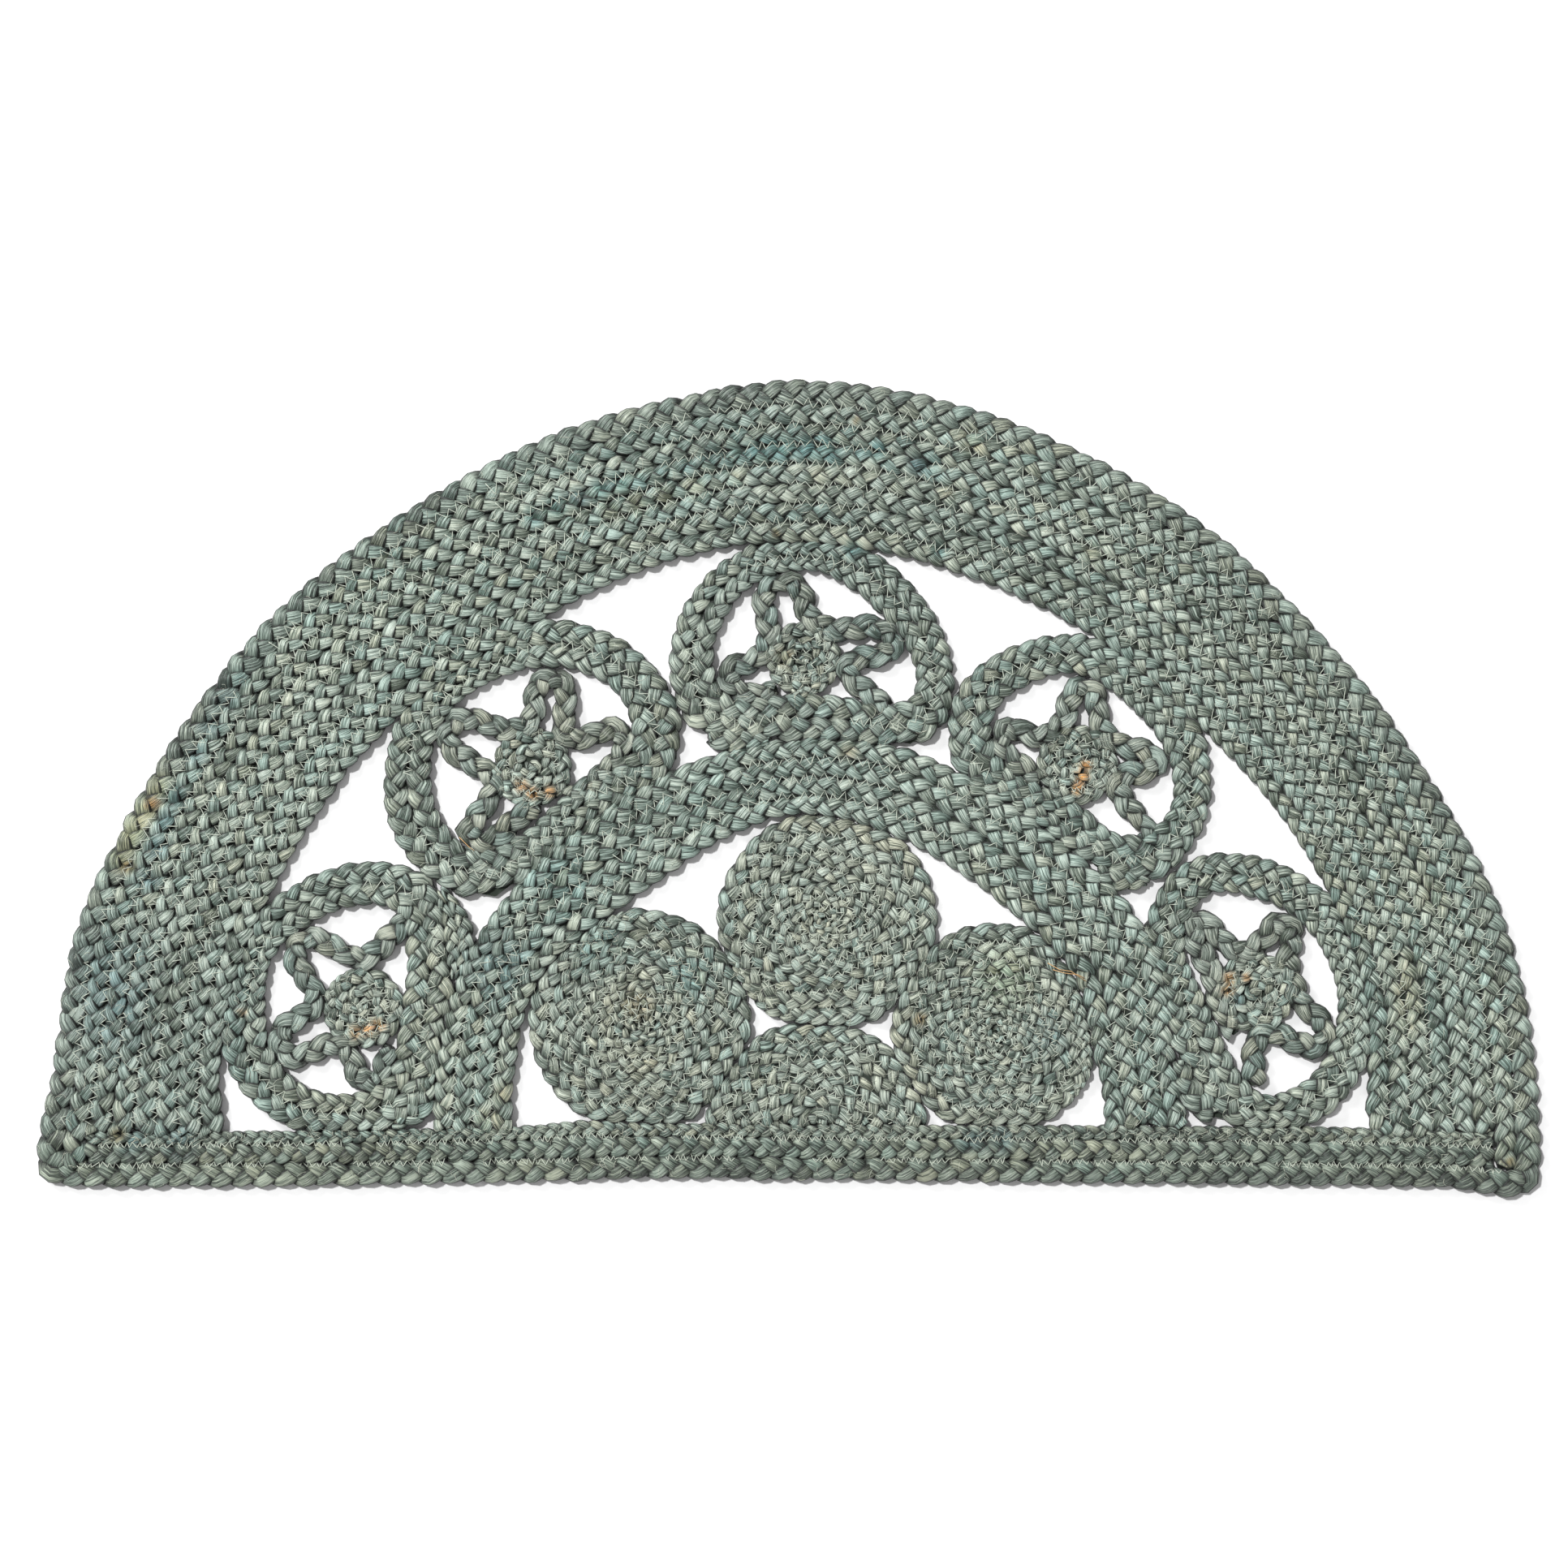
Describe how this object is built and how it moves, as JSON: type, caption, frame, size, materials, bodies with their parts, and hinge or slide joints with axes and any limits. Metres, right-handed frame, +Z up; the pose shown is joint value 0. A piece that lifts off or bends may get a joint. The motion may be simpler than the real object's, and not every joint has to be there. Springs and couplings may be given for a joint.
{
  "type": "jute doormat",
  "caption": "Flat half-moon floor mat of plaited jute braids sewn side by side, with arched bands that frame open spoked wheels and solid coiled discs.",
  "frame": {"origin": "centre of the mat's outline on the floor plane under it", "axes": "+X along the straight edge, +Y from the straight edge to the top of the arch, +Z up"},
  "size_m": [0.8986, 0.4882, 0.009],
  "materials": {
    "edge_jute": "dyed jute plait, matt",
    "arch_jute": "dyed jute plait, matt",
    "ring_jute": "dyed jute plait, matt",
    "spoke_jute": "dyed jute plait, matt",
    "coil_jute": "fine dyed jute plait, matt"
  },
  "bodies": {
    "root": {"edge_braid": "edge_jute", "base_band": "edge_jute", "outer_arch": "arch_jute", "inner_arch": "arch_jute", "wheel_ring_1": "ring_jute", "wheel_ring_2": "ring_jute", "wheel_ring_3": "ring_jute", "wheel_ring_4": "ring_jute", "wheel_ring_5": "ring_jute", "wheel_spokes_1": "spoke_jute", "wheel_spokes_2": "spoke_jute", "wheel_spokes_3": "spoke_jute", "wheel_spokes_4": "spoke_jute", "wheel_spokes_5": "spoke_jute", "wheel_hub_1": "coil_jute", "wheel_hub_2": "coil_jute", "wheel_hub_3": "coil_jute", "wheel_hub_4": "coil_jute", "wheel_hub_5": "coil_jute", "disc_left": "coil_jute", "disc_top": "coil_jute", "disc_right": "coil_jute", "half_disc": "coil_jute"}
  },
  "joints": []
}
